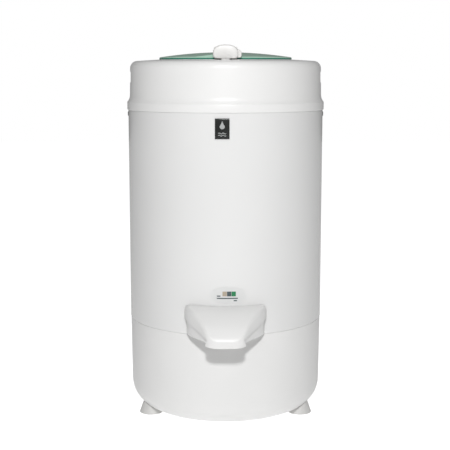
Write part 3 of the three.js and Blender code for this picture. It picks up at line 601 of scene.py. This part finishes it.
def platePiece(name, inner, outer, low, high, fromDegrees, toDegrees, cornerMm):
    # a thin plate curved to lie on the casing, its four corners rounded
    plate = arcBlock(name, inner, outer, fromDegrees, toDegrees, low, high, 24)
    left = around((inner + outer) / 2 * mm, fromDegrees, 0)[0]
    right = around((inner + outer) / 2 * mm, toDegrees, 0)[0]
    for edge in plate.data.edges:
        ends = [plate.data.vertices[index].co for index in edge.vertices]
        atEnd = min(abs(ends[0].x - left), abs(ends[0].x - right)) < 0.0007
        level = abs(ends[0].z - ends[1].z) < 0.00001
        short = (ends[0] - ends[1]).length < (outer - inner + 0.2) * mm
        edge.select = atEnd and level and short and abs(ends[0].x - ends[1].x) < 0.0002
    for face in plate.data.polygons:
        face.select = False
    bpy.ops.object.mode_set(mode="EDIT")
    bpy.ops.mesh.select_mode(type="EDGE")
    bpy.ops.mesh.bevel(offset=cornerMm * mm, segments=6, affect="EDGES", clamp_overlap=False)
    bpy.ops.mesh.select_mode(type="VERT")
    bpy.ops.object.mode_set(mode="OBJECT")
    tidyMesh(plate)
    return plate


badgeSizes = {"middle": -1.8, "half": 3.75, "corner": 1.5, "thick": 1.1}
plateFace = outerMm + 0.3 + badgeSizes["thick"]
badge = platePiece("badgePlate", outerMm + 0.3, plateFace, badgeLow[2] / mm, badgeHigh[2] / mm,
                   badgeSizes["middle"] - badgeSizes["half"], badgeSizes["middle"] + badgeSizes["half"],
                   badgeSizes["corner"])
smooth(badge)
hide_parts("badge")
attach(badge, "housing")

# a plain water drop over two waves stands for what the machine does
emblemSizes = {
    "dropRadius": 4.2, "dropHeight": 518, "dropPoint": 9, "waveWidth": 13, "waveHeights": (507, 503.5), "thick": 0.5,
}


def outwards(obj, degrees, faceMm):
    # stands a flat shape made on the floor plane up against the casing
    obj.rotation_euler = (math.pi / 2, 0, math.radians(degrees))
    obj.location = around(faceMm * mm, degrees, 0)
    applyPlace(obj)


deselectAll()
bpy.ops.mesh.primitive_circle_add(vertices=40, radius=emblemSizes["dropRadius"] * mm, fill_type="NGON")
drop = bpy.context.object
drop.name = "emblemDrop"
for vertex in drop.data.vertices:
    if vertex.co.y > 0:
        share = vertex.co.y / (emblemSizes["dropRadius"] * mm)
        vertex.co.y *= 1 + share * share * (emblemSizes["dropPoint"] / emblemSizes["dropRadius"] - 1)
        vertex.co.x *= 1 - 0.75 * share * share
drop.location = (0, emblemSizes["dropHeight"] * mm, 0)
applyPlace(drop)
bpy.ops.object.mode_set(mode="EDIT")
bpy.ops.mesh.select_all(action="SELECT")
bpy.ops.mesh.extrude_region_move(TRANSFORM_OT_translate={"value": (0, 0, emblemSizes["thick"] * mm)})
bpy.ops.object.mode_set(mode="OBJECT")
outwards(drop, badgeSizes["middle"], plateFace - 0.1)
tidyMesh(drop)
emblemPieces = [drop]
for height in emblemSizes["waveHeights"]:
    deselectAll()
    bpy.ops.mesh.primitive_grid_add(x_subdivisions=24, y_subdivisions=1, size=1)
    wave = bpy.context.object
    wave.name = "emblemWave"
    wave.scale = (emblemSizes["waveWidth"] * mm, 1.2 * mm, 1)
    applyPlace(wave)
    for vertex in wave.data.vertices:
        vertex.co.y += 0.8 * mm * math.sin(vertex.co.x / (emblemSizes["waveWidth"] * mm) * 4 * math.pi)
    wave.location = (0, height * mm, 0)
    applyPlace(wave)
    bpy.ops.object.mode_set(mode="EDIT")
    bpy.ops.mesh.select_all(action="SELECT")
    bpy.ops.mesh.extrude_region_move(TRANSFORM_OT_translate={"value": (0, 0, emblemSizes["thick"] * mm)})
    bpy.ops.object.mode_set(mode="OBJECT")
    outwards(wave, badgeSizes["middle"], plateFace - 0.1)
    tidyMesh(wave)
    emblemPieces.append(wave)
for piece in emblemPieces:
    smooth(piece)
    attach(piece, "housing")

labelSizes = {"middle": 2.0, "tile": 7.5, "tileHigh": 8, "tileHeight": 240.5, "thick": 0.25}
labelFace = outerMm + 0.8
label = finerCopy("drain_label", 0, 40)
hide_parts("drain_label")
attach(label, "housing")
tiles = {"tileSand": 0, "tileSlate": 1, "tileGreen": 2}
tilePieces = {}
for name, index in tiles.items():
    degrees = labelSizes["middle"] + (index - 1) * math.degrees(labelSizes["tile"] * mm / casingRadius)
    halfTile = math.degrees((labelSizes["tile"] / 2 - 0.2) * mm / casingRadius)
    low = labelSizes["tileHeight"] - labelSizes["tileHigh"] / 2
    tile = arcBlock(name, labelFace - 0.1, labelFace + labelSizes["thick"], degrees - halfTile,
                    degrees + halfTile, low, low + labelSizes["tileHigh"], 6)
    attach(tile, "housing")
    tilePieces[name] = tile
# a long bar and two dashes round the tiles: middle and half width in degrees, then the height in mm
bars = []
for name, middle, half, height in (("labelLine", 1.0, 5.8, 232.4), ("labelDashLeft", -3.8, 1.0, 236.2),
                                   ("labelDashRight", 5.4, 0.9, 228.4)):
    bar = arcBlock(name, labelFace - 0.1, labelFace + labelSizes["thick"], middle - half, middle + half,
                   height - 0.3, height + 1.5, 12)
    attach(bar, "housing")
    bars.append(bar)
print("feet, badge and label ready")


# pieces seen when the lid is open, and small ones outside

drumLow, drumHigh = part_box("spin_drum")
drumSizes = {
    "sheet": 1.5, "boreRadius": 8.3, "mouthStep": 22, "corner": 8, "columns": 20, "rows": 7, "holeRadius": 2.5,
}
drumMm = drumHigh[0] / mm
drumLowMm = drumLow[2] / mm
drumHighMm = drumHigh[2] / mm
drumMouthMm = drumMm - drumSizes["mouthStep"]
sheetMm = drumSizes["sheet"]
drum = turnedShell("drumShell", [
    (drumSizes["boreRadius"], drumLowMm),
    *arcPoints(drumMm - drumSizes["corner"], drumLowMm + drumSizes["corner"], drumSizes["corner"], -90, 0, 6),
    (drumMm, drumHighMm - 14),
    *arcPoints(drumMm - 10, drumHighMm - 14, 10, 0, 60, 6),
    (drumMouthMm + 1, drumHighMm - 0.2),
    (drumMouthMm, drumHighMm - 0.6),
    (drumMouthMm, drumHighMm - sheetMm),
    *arcPoints(drumMm - 10, drumHighMm - 14, 10 - sheetMm, 60, 0, 6),
    *arcPoints(drumMm - drumSizes["corner"], drumLowMm + drumSizes["corner"], drumSizes["corner"] - sheetMm,
               0, -90, 6),
    (drumSizes["boreRadius"], drumLowMm + sheetMm),
])
deselectAll()
holes = []
for column in range(drumSizes["columns"]):
    for row in range(drumSizes["rows"]):
        degrees = (column + (row % 2) / 2) * 360 / drumSizes["columns"]
        height = drumLow[2] + 0.035 + row * (drumHigh[2] - drumLow[2] - 0.08) / (drumSizes["rows"] - 1)
        inside = around(drumHigh[0] - 0.006, degrees, height)
        outside = around(drumHigh[0] + 0.004, degrees, height)
        holes.append(roundBar("hole", drumSizes["holeRadius"] * mm, inside, outside, 12))
deselectAll()
for hole in holes:
    hole.select_set(True)
bpy.context.view_layer.objects.active = holes[0]
bpy.ops.object.join()
combine(drum, bpy.context.object, "DIFFERENCE")
smooth(drum, 32)
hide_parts("spin_drum")
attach(drum, "drum_group")

fineNodes = {
    "hinge_pin": "housing", "latch_pivot": "lid_group", "cord_gland": "housing", "casing_screw_left": "housing",
    "casing_screw_right": "housing", "casing_screw_rear": "housing", "drum_nut": "drum_group",
    "splash_ring": "housing", "lid_switch": "housing", "latch_slider": "slider_group",
}
fineCopies = {}
for nodeName in fineNodes:
    copy = finerCopy(nodeName, 0.3, 40)
    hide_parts(nodeName)
    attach(copy, fineNodes[nodeName])
    fineCopies[nodeName] = copy
sealLow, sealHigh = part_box("mouth_seal")
seal = turnedShell("mouthSealRing", [
    (mouthMm + 0.4, sealLow[2] / mm),
    (mouthMm, sealLow[2] / mm + 0.6),
    (mouthMm, sealHigh[2] / mm - 0.6),
    (mouthMm + 0.4, sealHigh[2] / mm),
    (sealHigh[0] / mm, sealHigh[2] / mm),
    (sealHigh[0] / mm, sealLow[2] / mm),
])
smooth(seal)
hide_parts("mouth_seal")
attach(seal, "housing")
print("drum and small pieces ready")


# materials

def nodeGroup(name, inputs, outputs):
    group = bpy.data.node_groups.new(name, "ShaderNodeTree")
    for label, kind, value in inputs:
        socket = group.interface.new_socket(name=label, in_out="INPUT", socket_type=kind)
        if value is not None:
            socket.default_value = value
    for label, kind in outputs:
        group.interface.new_socket(name=label, in_out="OUTPUT", socket_type=kind)
    return group, group.nodes.new("NodeGroupInput"), group.nodes.new("NodeGroupOutput")


def addNode(tree, kind, settings=None, values=None):
    node = tree.nodes.new(kind)
    for key, value in (settings or {}).items():
        setattr(node, key, value)
    for key, value in (values or {}).items():
        node.inputs[key].default_value = value
    return node


# fine moulding grain: a height and a mask that vary over the surface
grain, grainIn, grainOut = nodeGroup(
    "mouldingGrain",
    [("Fine", "NodeSocketFloat", 900.0), ("Broad", "NodeSocketFloat", 14.0),
     ("Broad share", "NodeSocketFloat", 0.5)],
    [("Height", "NodeSocketFloat"), ("Mask", "NodeSocketFloat")])
place = addNode(grain, "ShaderNodeTexCoord")
fineNoise = addNode(grain, "ShaderNodeTexNoise", None, {"Detail": 2.0, "Roughness": 0.6})
broadNoise = addNode(grain, "ShaderNodeTexNoise", None, {"Detail": 3.0, "Roughness": 0.5})
together = addNode(grain, "ShaderNodeMix", {"data_type": "FLOAT"})
grain.links.new(place.outputs["Object"], fineNoise.inputs["Vector"])
grain.links.new(place.outputs["Object"], broadNoise.inputs["Vector"])
grain.links.new(grainIn.outputs["Fine"], fineNoise.inputs["Scale"])
grain.links.new(grainIn.outputs["Broad"], broadNoise.inputs["Scale"])
grain.links.new(grainIn.outputs["Broad share"], together.inputs["Factor"])
grain.links.new(fineNoise.outputs["Fac"], together.inputs["A"])
grain.links.new(broadNoise.outputs["Fac"], together.inputs["B"])
grain.links.new(together.outputs["Result"], grainOut.inputs["Height"])
grain.links.new(broadNoise.outputs["Fac"], grainOut.inputs["Mask"])

# turned or brushed metal: fine streaks stretched along one direction
brushed, brushedIn, brushedOut = nodeGroup(
    "brushedStreaks",
    [("Stretch", "NodeSocketVector", (30.0, 30.0, 1500.0))],
    [("Height", "NodeSocketFloat"), ("Mask", "NodeSocketFloat")])
place = addNode(brushed, "ShaderNodeTexCoord")
stretch = addNode(brushed, "ShaderNodeVectorMath", {"operation": "MULTIPLY"})
streaks = addNode(brushed, "ShaderNodeTexNoise", None, {"Scale": 1.0, "Detail": 3.0, "Roughness": 0.65})
patches = addNode(brushed, "ShaderNodeTexNoise", None, {"Scale": 22.0, "Detail": 2.0})
brushed.links.new(place.outputs["Object"], stretch.inputs[0])
brushed.links.new(brushedIn.outputs["Stretch"], stretch.inputs[1])
brushed.links.new(stretch.outputs["Vector"], streaks.inputs["Vector"])
brushed.links.new(place.outputs["Object"], patches.inputs["Vector"])
brushed.links.new(streaks.outputs["Fac"], brushedOut.inputs["Height"])
brushed.links.new(patches.outputs["Fac"], brushedOut.inputs["Mask"])


def finish(name, colour, tint, roughness, shader=None, group=None, groupValues=None, bump=0.02,
           bumpDistance=0.0002):
    # colour and tint are mixed by the group's mask, and roughness is a low and a high value mixed the same way
    material = bpy.data.materials.new(name)
    material.use_nodes = True
    tree = material.node_tree
    surface = tree.nodes["Principled BSDF"]
    pattern = addNode(tree, "ShaderNodeGroup", {"node_tree": group or grain}, groupValues)
    spread = addNode(tree, "ShaderNodeMapRange", None, {"From Min": 0.35, "From Max": 0.65})
    colours = addNode(tree, "ShaderNodeMix", {"data_type": "RGBA"})
    colours.inputs["A"].default_value = (*colour, 1)
    colours.inputs["B"].default_value = (*tint, 1)
    rough = addNode(tree, "ShaderNodeMapRange", None, {
        "From Min": 0.3, "From Max": 0.7, "To Min": roughness[0], "To Max": roughness[1]})
    relief = addNode(tree, "ShaderNodeBump", None, {"Strength": bump, "Distance": bumpDistance})
    tree.links.new(pattern.outputs["Mask"], spread.inputs["Value"])
    tree.links.new(spread.outputs["Result"], colours.inputs["Factor"])
    tree.links.new(colours.outputs["Result"], surface.inputs["Base Color"])
    tree.links.new(pattern.outputs["Mask"], rough.inputs["Value"])
    tree.links.new(rough.outputs["Result"], surface.inputs["Roughness"])
    tree.links.new(pattern.outputs["Height"], relief.inputs["Height"])
    tree.links.new(relief.outputs["Normal"], surface.inputs["Normal"])
    for key, value in (shader or {}).items():
        surface.inputs[key].default_value = value
    return material


# 1 beyond a distance from the drum's axis and under a height, 0 elsewhere
rim, rimIn, rimOut = nodeGroup(
    "rimMask",
    [("From", "NodeSocketFloat", 0.1155), ("To", "NodeSocketFloat", 0.116), ("Top", "NodeSocketFloat", 0.6292)],
    [("Mask", "NodeSocketFloat")])
place = addNode(rim, "ShaderNodeTexCoord")
offset = addNode(rim, "ShaderNodeVectorMath", {"operation": "SUBTRACT"})
offset.inputs[1].default_value = (0, axisY, 0)
level = addNode(rim, "ShaderNodeVectorMath", {"operation": "MULTIPLY"})
level.inputs[1].default_value = (1, 1, 0)
distance = addNode(rim, "ShaderNodeVectorMath", {"operation": "LENGTH"})
edgeMask = addNode(rim, "ShaderNodeMapRange")
rim.links.new(place.outputs["Object"], offset.inputs[0])
rim.links.new(offset.outputs["Vector"], level.inputs[0])
rim.links.new(level.outputs["Vector"], distance.inputs[0])
rim.links.new(distance.outputs["Value"], edgeMask.inputs["Value"])
rim.links.new(rimIn.outputs["From"], edgeMask.inputs["From Min"])
rim.links.new(rimIn.outputs["To"], edgeMask.inputs["From Max"])
heights = addNode(rim, "ShaderNodeSeparateXYZ")
under = addNode(rim, "ShaderNodeMath", {"operation": "LESS_THAN"})
bothMasks = addNode(rim, "ShaderNodeMath", {"operation": "MULTIPLY"})
rim.links.new(place.outputs["Object"], heights.inputs["Vector"])
rim.links.new(heights.outputs["Z"], under.inputs[0])
rim.links.new(rimIn.outputs["Top"], under.inputs[1])
rim.links.new(edgeMask.outputs["Result"], bothMasks.inputs[0])
rim.links.new(under.outputs["Value"], bothMasks.inputs[1])
rim.links.new(bothMasks.outputs["Value"], rimOut.inputs["Mask"])


def deepenRim(material, colour):
    # the coloured plastic looks deeper at the upright rim than on the thin dome
    tree = material.node_tree
    surface = tree.nodes["Principled BSDF"]
    before = surface.inputs["Base Color"].links[0].from_socket
    mask = addNode(tree, "ShaderNodeGroup", {"node_tree": rim})
    both = addNode(tree, "ShaderNodeMix", {"data_type": "RGBA"})
    both.inputs["B"].default_value = (*colour, 1)
    tree.links.new(mask.outputs["Mask"], both.inputs["Factor"])
    tree.links.new(before, both.inputs["A"])
    tree.links.new(both.outputs["Result"], surface.inputs["Base Color"])


metal = {"Metallic": 1.0}
finishes = {
    "enamel": finish("whiteEnamel", (0.84, 0.84, 0.835), (0.82, 0.82, 0.815), (0.2, 0.26),
                     {"Coat Weight": 0.3, "Coat Roughness": 0.08}, None, {"Broad": 5.0}, 0.03, 0.0003),
    "moulding": finish("whiteMoulding", (0.89, 0.888, 0.88), (0.87, 0.868, 0.86), (0.28, 0.36),
                       {"IOR": 1.49}, None, {"Broad": 9.0}, 0.04, 0.0002),
    "knob": finish("knobMoulding", (0.86, 0.85, 0.835), (0.84, 0.83, 0.81), (0.3, 0.38),
                   None, None, {"Broad": 30.0}),
    # the feet's own slightly greyer white, darkened further as painted shade for the shade they sit in under the base
    "footMouldingAndShade": finish("footMouldingAndShade", (0.7, 0.695, 0.68), (0.67, 0.665, 0.65), (0.4, 0.5),
                           None, None, {"Broad": 40.0}),
    "grey": finish("greyMoulding", (0.34, 0.36, 0.37), (0.3, 0.32, 0.33), (0.4, 0.52)),
    "lid": finish("greenLid", (0.48, 0.7, 0.57), (0.44, 0.67, 0.54), (0.16, 0.22),
                  {"IOR": 1.5}, None, {"Broad": 12.0}, 0.02, 0.0002),
    "badge": finish("badgeBlack", (0.012, 0.014, 0.013), (0.02, 0.022, 0.02), (0.18, 0.26)),
    "emblem": finish("emblemSilver", (0.72, 0.74, 0.73), (0.6, 0.62, 0.61), (0.25, 0.35), metal),
    "label": finish("labelFilm", (0.79, 0.795, 0.79), (0.77, 0.775, 0.77), (0.3, 0.4)),
    "sand": finish("tileSandInk", (0.5, 0.42, 0.33), (0.46, 0.39, 0.3), (0.35, 0.45)),
    "slate": finish("tileSlateInk", (0.09, 0.12, 0.13), (0.075, 0.1, 0.11), (0.35, 0.45)),
    "green": finish("tileGreenInk", (0.02, 0.26, 0.1), (0.02, 0.22, 0.085), (0.35, 0.45)),
    "steel": finish("brushedSteel", (0.62, 0.63, 0.64), (0.52, 0.53, 0.54), (0.22, 0.38),
                    metal, brushed, None, 0.08),
    "darkSteel": finish("darkSteel", (0.13, 0.135, 0.14), (0.09, 0.095, 0.1), (0.3, 0.45), metal, brushed),
    "aluminium": finish("castAluminium", (0.6, 0.61, 0.62), (0.5, 0.51, 0.52), (0.35, 0.5),
                        metal, None, {"Fine": 700.0}, 0.2),
    "iron": finish("castIron", (0.09, 0.09, 0.095), (0.06, 0.06, 0.062), (0.5, 0.7),
                   {"Metallic": 0.8}, None, None, 0.3),
    "rubber": finish("blackRubber", (0.02, 0.02, 0.02), (0.035, 0.035, 0.034), (0.6, 0.8),
                     None, None, None, 0.15),
}
deepenRim(finishes["lid"], (0.035, 0.25, 0.175))
slotFinish = {
    "white_moulding": "moulding", "white_enamel": "enamel", "grey_moulding": "grey", "green_lid": "lid",
    "black_moulding": "badge", "label_film": "label", "steel": "steel", "dark_steel": "darkSteel",
    "aluminium": "aluminium", "iron": "iron", "rubber": "rubber",
}


def paint(obj, key):
    obj.data.materials.clear()
    obj.data.materials.append(finishes[key])


for part in frame["record"]["subparts"]:
    paint(nodes[part["node"]], slotFinish[part["material_slot"]])
    if part["node"] in fineCopies:
        paint(fineCopies[part["node"]], slotFinish[part["material_slot"]])
for obj, key in (
        (casing, "enamel"), (base, "moulding"), (cover, "moulding"), (lid, "lid"), (arm, "knob"),
        (backing, "knob"), (knob, "knob"), (hood, "moulding"), (drum, "steel"), (seal, "rubber"), (badge, "badge"),
        (label, "label"), (tilePieces["tileSand"], "sand"), (tilePieces["tileSlate"], "slate"),
        (tilePieces["tileGreen"], "green")):
    paint(obj, key)
for piece in emblemPieces:
    paint(piece, "emblem")
for bar in bars:
    paint(bar, "slate")
for foot in ("foot_front_left", "foot_front_right", "foot_rear"):
    # the feet's finish carries painted shade as well as their own greyer white
    paint(bpy.data.objects[foot + "_turned"], "footMouldingAndShade")
print("materials ready")


# floor, light and camera

deselectAll()
bpy.ops.mesh.primitive_plane_add(size=14, location=(0, 0, 0))
floor = bpy.context.object
floor.name = "studioFloor"
studioSizes = {"skyForLight": 0.15, "floorForLight": 0.33, "floorGlow": 0.9}
floorPaint = bpy.data.materials.new("paleFloor")
floorPaint.use_nodes = True
floorTree = floorPaint.node_tree
floorSurface = floorTree.nodes["Principled BSDF"]
floorSurface.inputs["Base Color"].default_value = (0.85, 0.85, 0.85, 1)
floorSurface.inputs["Roughness"].default_value = 0.9
floorSurface.inputs["Emission Color"].default_value = (1, 1, 1, 1)
seen = addNode(floorTree, "ShaderNodeLightPath")
glow = addNode(floorTree, "ShaderNodeMapRange", None, {
    "To Min": studioSizes["floorForLight"], "To Max": studioSizes["floorGlow"]})
floorTree.links.new(seen.outputs["Is Camera Ray"], glow.inputs["Value"])
floorTree.links.new(glow.outputs["Result"], floorSurface.inputs["Emission Strength"])
floor.data.materials.append(floorPaint)

world = bpy.data.worlds.new("studio")  # white where the camera sees it, softer as a light
world.use_nodes = True
worldTree = world.node_tree
sky = worldTree.nodes["Background"]
sky.inputs["Color"].default_value = (1, 1, 1, 1)
seen = addNode(worldTree, "ShaderNodeLightPath")
strength = addNode(worldTree, "ShaderNodeMapRange", None, {"To Min": studioSizes["skyForLight"], "To Max": 1.0})
worldTree.links.new(seen.outputs["Is Camera Ray"], strength.inputs["Value"])
worldTree.links.new(strength.outputs["Result"], sky.inputs["Strength"])
bpy.context.scene.world = world
bpy.context.scene.view_settings.view_transform = "Standard"


def areaLight(name, place, size, watts, target=(0, 0, 0.33)):
    deselectAll()
    bpy.ops.object.light_add(type="AREA", location=place)
    light = bpy.context.object
    light.name = name
    light.data.shape = "RECTANGLE"
    light.data.size, light.data.size_y = size
    light.data.energy = watts
    dx, dy, dz = (b - a for a, b in zip(place, target))
    light.rotation_euler = (math.atan2(math.hypot(dx, dy), -dz), 0, math.atan2(-dx, dy))
    return light


areaLight("keyPanel", (0, -2.35, 1.54), (0.2, 0.2), 34.5)
areaLight("topPanel", (0, -0.9, 2.3), (1.2, 1.2), 6)

cameraSizes = {"distance": 1.8925, "height": 0.611, "down": 8.42, "lens": 84.4, "across": -0.0009}
bpy.ops.object.camera_add(
    location=(cameraSizes["across"], axisY - cameraSizes["distance"], cameraSizes["height"]),
    rotation=(math.radians(90 - cameraSizes["down"]), 0, 0))
camera = bpy.context.object
camera.data.lens = cameraSizes["lens"]
camera.data.sensor_width = 36
bpy.context.scene.camera = camera
print("stage ready")
